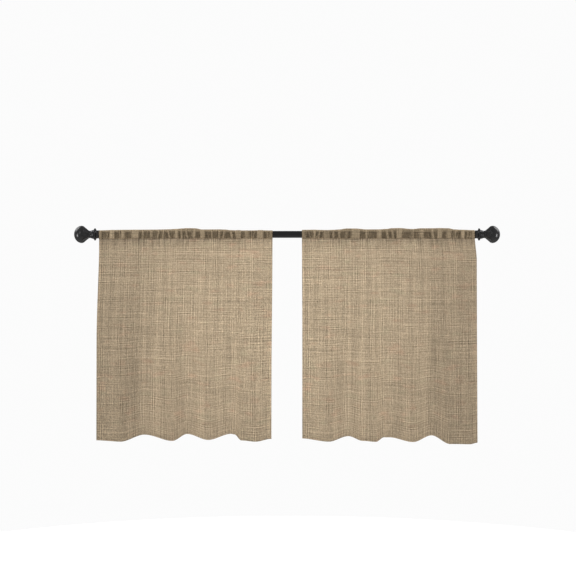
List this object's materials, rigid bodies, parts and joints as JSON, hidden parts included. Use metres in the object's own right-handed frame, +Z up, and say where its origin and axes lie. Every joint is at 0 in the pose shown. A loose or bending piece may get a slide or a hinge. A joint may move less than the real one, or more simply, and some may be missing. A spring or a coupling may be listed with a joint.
{
  "type": "sheer curtain panels on a curtain rod",
  "caption": "Short semi-sheer cafe curtain panels in linen-look cloth, gathered by rod pockets on a slim black rod with turned ball finials.",
  "frame": {"origin": "on the rod's axis at mid-length, between the panels", "axes": "+X along the rod to the right as seen from the front, +Y to the back, +Z up; the front faces -Y"},
  "size_m": [1.2292, 0.0494, 0.6284],
  "materials": {
    "black": "satin black paint",
    "cloth": "semi-sheer plain weave in flax brown with uneven yarns"
  },
  "bodies": {
    "root": {"rod": "black", "finial_left": "black", "finial_right": "black", "panel_left": "cloth", "panel_right": "cloth"}
  },
  "joints": []
}
